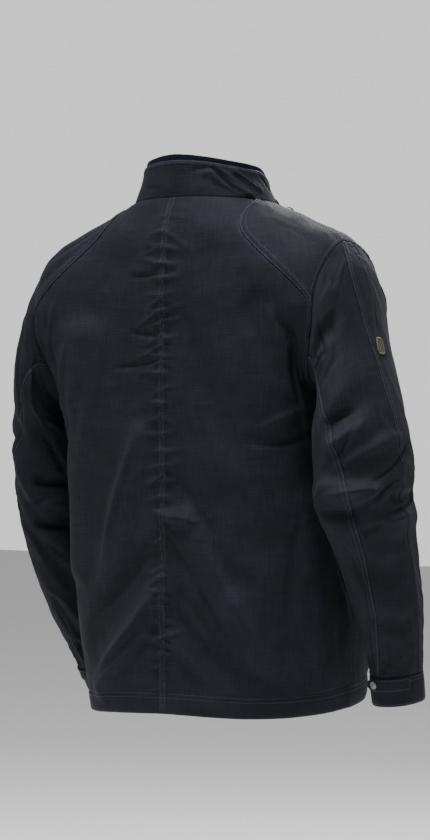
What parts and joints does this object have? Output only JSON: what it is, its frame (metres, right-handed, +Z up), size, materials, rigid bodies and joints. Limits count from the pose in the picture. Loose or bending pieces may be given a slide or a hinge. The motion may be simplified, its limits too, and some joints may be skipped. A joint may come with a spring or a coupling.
{
  "type": "rain jacket",
  "caption": "Hip-length stand-collar rain jacket in waxed cotton, hollow, in its worn pose, with a front zip and a throat ring.",
  "frame": {"origin": "middle of the neck opening at the height of the back neck seam, where the wearer's shoulders hold the jacket", "axes": "+Z up, the front faces -Y, the wearer's left is +X"},
  "size_m": [0.672, 0.3404, 0.7726],
  "materials": {
    "waxed_cotton": "matte",
    "inner_collar_cotton": "matte",
    "zip_cloth": "matte",
    "patch_cloth": "matte",
    "nickel": "satin"
  },
  "bodies": {
    "jacket": {"back_left": "waxed_cotton", "back_right": "waxed_cotton", "yoke_left": "waxed_cotton", "yoke_right": "waxed_cotton", "front_left": "waxed_cotton", "front_right": "waxed_cotton", "sleeve_strip_left": "waxed_cotton", "sleeve_strip_right": "waxed_cotton", "sleeve_back_left": "waxed_cotton", "sleeve_back_right": "waxed_cotton", "sleeve_under_left": "waxed_cotton", "sleeve_under_right": "waxed_cotton", "cuff_left": "waxed_cotton", "cuff_right": "waxed_cotton", "cuff_tab_left": "waxed_cotton", "cuff_tab_right": "waxed_cotton", "cuff_snap_left": "nickel", "cuff_snap_right": "nickel", "collar_outer": "waxed_cotton", "collar_inner": "inner_collar_cotton", "throat_tab": "waxed_cotton", "sleeve_patch": "patch_cloth", "zip_tape_left": "zip_cloth", "zip_tape_right": "zip_cloth", "zip_chain": "nickel", "zip_slider": "nickel"},
    "ring": {"throat_ring": "nickel"},
    "pull": {"zip_pull": "nickel"}
  },
  "joints": [
    {"name": "throat_ring_swing", "type": "hinge", "parent": "jacket", "child": "ring", "pos_m": [-0.08383, -0.06975, -0.01467], "axis": [0, 0, 1], "range_deg": [-45, 45]},
    {"name": "zip_pull_tilt", "type": "hinge", "parent": "jacket", "child": "pull", "pos_m": [0, -0.12041, -0.06747], "axis": [1, 0, 0], "range_deg": [-100, 0]}
  ]
}
